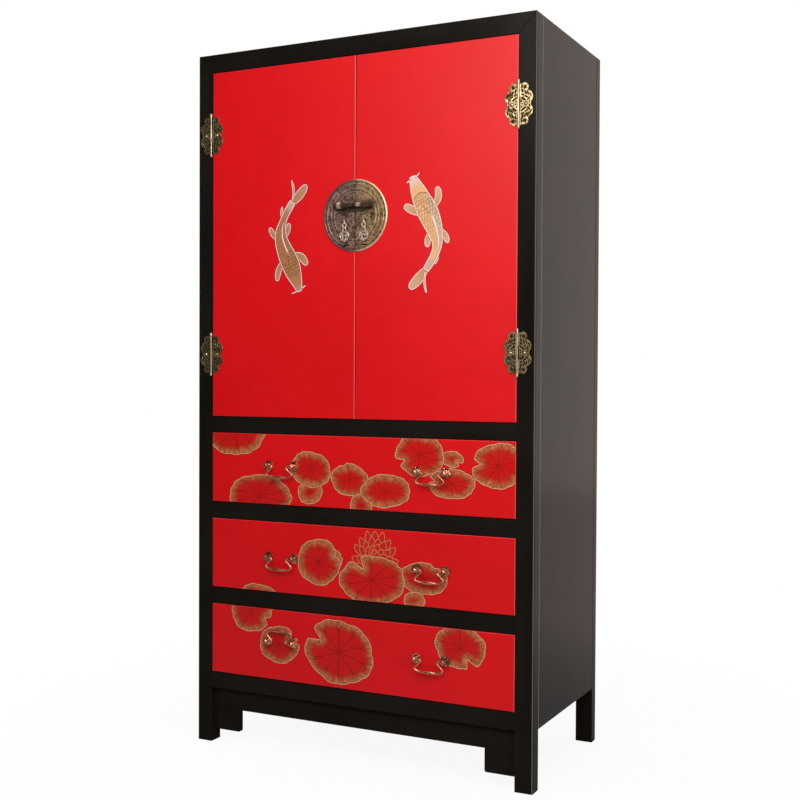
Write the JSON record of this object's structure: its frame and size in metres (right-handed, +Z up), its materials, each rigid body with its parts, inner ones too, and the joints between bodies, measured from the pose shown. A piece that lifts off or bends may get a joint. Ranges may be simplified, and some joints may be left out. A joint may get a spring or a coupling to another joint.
{
  "type": "lacquered wardrobe cabinet with two doors over drawers",
  "caption": "Tall lacquered cabinet: paired hinged doors with a round lock plate and pendant pulls, over drawers with swinging bail handles, on straight post legs.",
  "frame": {"origin": "middle of the bounding box on the floor, metal fittings included", "axes": "+X to the viewer's right when facing the doors, +Y from the doors to the back, +Z up"},
  "size_m": [0.94, 0.504, 1.8],
  "materials": {
    "black_lacquer": "black lacquer on wood, satin gloss",
    "red_lacquer": "red lacquer on wood, glossy, with painted fish, lotus pads and a flower",
    "plain_wood": "plain sealed wood, matt",
    "hinge_brass": "antique brass, cast relief, worn bright on its edges",
    "lock_bronze": "dark antique bronze, engraved",
    "bail_copper": "warm copper-toned brass, polished by use"
  },
  "bodies": {
    "case": {"front_post_left": "black_lacquer", "front_post_right": "black_lacquer", "back_post_left": "black_lacquer", "back_post_right": "black_lacquer", "top_rail": "black_lacquer", "door_rail": "black_lacquer", "drawer_rail_upper": "black_lacquer", "drawer_rail_lower": "black_lacquer", "bottom_rail": "black_lacquer", "apron": "black_lacquer", "side_panel_left": "black_lacquer", "side_panel_right": "black_lacquer", "top_panel": "black_lacquer", "back_panel": "black_lacquer", "back_rails": "black_lacquer", "wardrobe_floor": "plain_wood", "kickers": "plain_wood", "drawer_runners": "plain_wood", "drawer_guides": "plain_wood", "drawer_stops": "plain_wood", "door_stops": "black_lacquer", "hanging_rail": "plain_wood", "rail_sockets": "hinge_brass", "frame_hinge_leaves": "hinge_brass", "hinge_pins": "hinge_brass", "frame_leaf_tacks": "hinge_brass"},
    "left_door": {"door_left_panel": "red_lacquer", "door_left_leaves": "hinge_brass", "door_left_tacks": "hinge_brass", "lock_plate_left": "lock_bronze", "lock_eyes_left": "lock_bronze"},
    "right_door": {"door_right_panel": "red_lacquer", "door_right_leaves": "hinge_brass", "door_right_tacks": "hinge_brass", "lock_plate_right": "lock_bronze", "lock_eyes_right": "lock_bronze"},
    "bolt": {"lock_bolt": "lock_bronze"},
    "left_pull": {"pull_left": "lock_bronze"},
    "right_pull": {"pull_right": "lock_bronze"},
    "upper_drawer": {"drawer_upper_front": "red_lacquer", "drawer_upper_sides": "plain_wood", "drawer_upper_back": "plain_wood", "drawer_upper_bottom": "plain_wood", "drawer_upper_posts": "lock_bronze"},
    "middle_drawer": {"drawer_middle_front": "red_lacquer", "drawer_middle_sides": "plain_wood", "drawer_middle_back": "plain_wood", "drawer_middle_bottom": "plain_wood", "drawer_middle_posts": "lock_bronze"},
    "lower_drawer": {"drawer_lower_front": "red_lacquer", "drawer_lower_sides": "plain_wood", "drawer_lower_back": "plain_wood", "drawer_lower_bottom": "plain_wood", "drawer_lower_posts": "lock_bronze"},
    "upper_left_bail": {"bail_upper_left": "bail_copper"},
    "upper_right_bail": {"bail_upper_right": "bail_copper"},
    "middle_left_bail": {"bail_middle_left": "bail_copper"},
    "middle_right_bail": {"bail_middle_right": "bail_copper"},
    "lower_left_bail": {"bail_lower_left": "bail_copper"},
    "lower_right_bail": {"bail_lower_right": "bail_copper"}
  },
  "joints": [
    {"name": "left_door_hinge", "type": "hinge", "parent": "case", "child": "left_door", "pos_m": [-0.427, -0.234, 1.304], "axis": [0, 0, -1], "range_deg": [0, 170]},
    {"name": "right_door_hinge", "type": "hinge", "parent": "case", "child": "right_door", "pos_m": [0.427, -0.234, 1.304], "axis": [0, 0, 1], "range_deg": [0, 170]},
    {"name": "bolt_slide", "type": "slide", "parent": "left_door", "child": "bolt", "axis": [-1, 0, 0], "range_m": [0, 0.02]},
    {"name": "left_pull_swing", "type": "hinge", "parent": "left_door", "child": "left_pull", "pos_m": [-0.027, -0.2374, 1.347], "axis": [-1, 0, 0], "range_deg": [0, 75]},
    {"name": "right_pull_swing", "type": "hinge", "parent": "right_door", "child": "right_pull", "pos_m": [0.027, -0.2374, 1.347], "axis": [-1, 0, 0], "range_deg": [0, 75]},
    {"name": "upper_drawer_slide", "type": "slide", "parent": "case", "child": "upper_drawer", "axis": [0, -1, 0], "range_m": [0, 0.3]},
    {"name": "middle_drawer_slide", "type": "slide", "parent": "case", "child": "middle_drawer", "axis": [0, -1, 0], "range_m": [0, 0.3]},
    {"name": "lower_drawer_slide", "type": "slide", "parent": "case", "child": "lower_drawer", "axis": [0, -1, 0], "range_m": [0, 0.3]},
    {"name": "upper_left_bail_swing", "type": "hinge", "parent": "upper_drawer", "child": "upper_left_bail", "pos_m": [-0.211, -0.245, 0.7345], "axis": [-1, 0, 0], "range_deg": [0, 186]},
    {"name": "upper_right_bail_swing", "type": "hinge", "parent": "upper_drawer", "child": "upper_right_bail", "pos_m": [0.211, -0.245, 0.7345], "axis": [-1, 0, 0], "range_deg": [0, 186]},
    {"name": "middle_left_bail_swing", "type": "hinge", "parent": "middle_drawer", "child": "middle_left_bail", "pos_m": [-0.211, -0.245, 0.5], "axis": [-1, 0, 0], "range_deg": [0, 186]},
    {"name": "middle_right_bail_swing", "type": "hinge", "parent": "middle_drawer", "child": "middle_right_bail", "pos_m": [0.211, -0.245, 0.5], "axis": [-1, 0, 0], "range_deg": [0, 186]},
    {"name": "lower_left_bail_swing", "type": "hinge", "parent": "lower_drawer", "child": "lower_left_bail", "pos_m": [-0.211, -0.245, 0.2855], "axis": [1, 0, 0], "range_deg": [0, 186]},
    {"name": "lower_right_bail_swing", "type": "hinge", "parent": "lower_drawer", "child": "lower_right_bail", "pos_m": [0.211, -0.245, 0.2855], "axis": [-1, 0, 0], "range_deg": [0, 186]}
  ]
}
